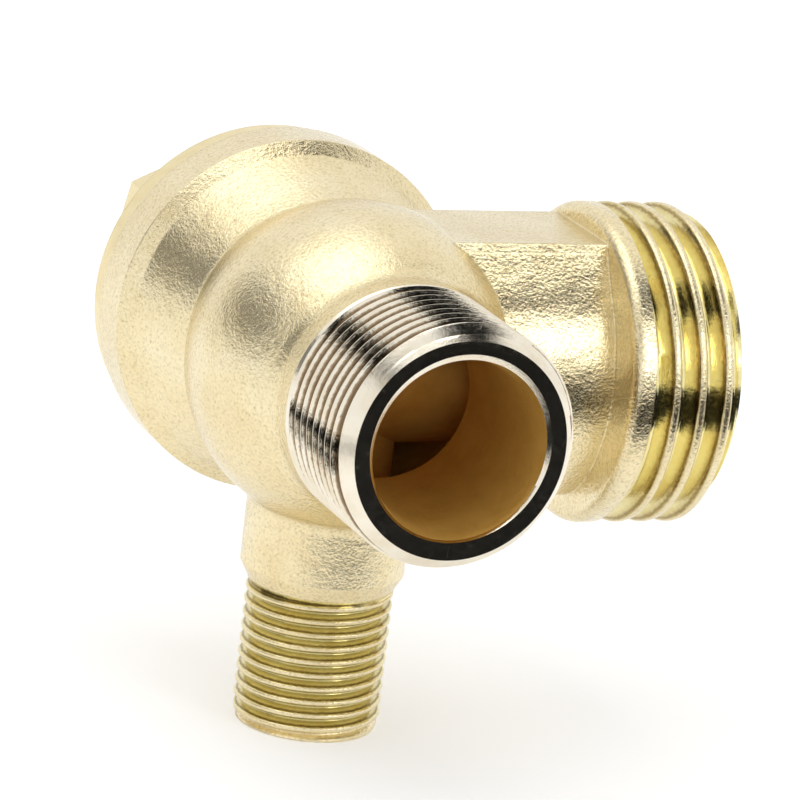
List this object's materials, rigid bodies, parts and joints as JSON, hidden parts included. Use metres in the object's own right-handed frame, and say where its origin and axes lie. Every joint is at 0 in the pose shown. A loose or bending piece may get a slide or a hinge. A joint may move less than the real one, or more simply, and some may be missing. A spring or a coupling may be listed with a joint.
{
  "type": "air compressor non-return valve",
  "caption": "Brass check valve for a compressor tank: tank thread, larger inlet thread at right angles, small unloader thread below and a hexagon screw cap over a sprung disc.",
  "frame": {"origin": "on the tank thread's axis, at the shoulder where that thread starts", "axes": "-Y along the tank thread towards its end, +X along the inlet thread towards its end, -Z along the unloader thread towards its end; the screw cap faces +Y"},
  "size_m": [0.0355, 0.0399, 0.0362],
  "materials": {
    "cast_brass": "bright dipped casting with a fine sandy grain, threads and end faces machined bright",
    "turned_brass": "turned and milled, bright",
    "gasket_fibre": "pressed fibre, matt",
    "seal_rubber": "matt black",
    "spring_steel": "drawn stainless wire"
  },
  "bodies": {
    "housing": {"valve_body": "cast_brass", "hex_cap": "turned_brass", "cap_gasket": "gasket_fibre", "valve_spring": "spring_steel"},
    "disc": {"valve_disc": "turned_brass", "seal_pad": "seal_rubber"}
  },
  "joints": [
    {"name": "disc_lift", "type": "slide", "parent": "housing", "child": "disc", "axis": [0, 1, 0], "range_m": [0, 0.0025], "stiffness_N_per_m": 250, "springref_m": -0.0015, "deforming": ["valve_spring"]}
  ]
}
